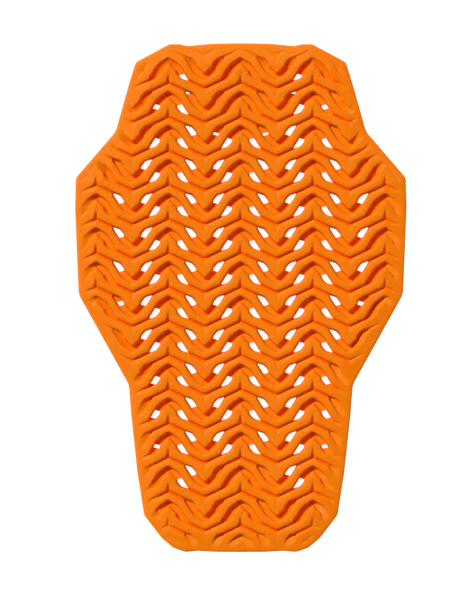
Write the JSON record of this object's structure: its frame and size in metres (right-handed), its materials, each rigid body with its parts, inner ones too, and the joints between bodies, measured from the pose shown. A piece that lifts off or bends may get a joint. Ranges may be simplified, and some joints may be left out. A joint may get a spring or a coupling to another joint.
{
  "type": "back protector",
  "caption": "Flat moulded pad shaped to the back, with zigzag ribs and slanted vents; slips into a jacket or pack pocket, softens a blow and lets air through.",
  "frame": {"origin": "Middle of the outline, on the flat back face that the pad lies on.", "axes": "+X across the back, +Y from the waist edge to the neck edge, +Z out of the ribbed face, away from the wearer."},
  "size_m": [0.284, 0.4349, 0.014],
  "materials": {
    "pad": "satin"
  },
  "bodies": {
    "root": {"ribbed_pad": "pad"}
  },
  "joints": []
}
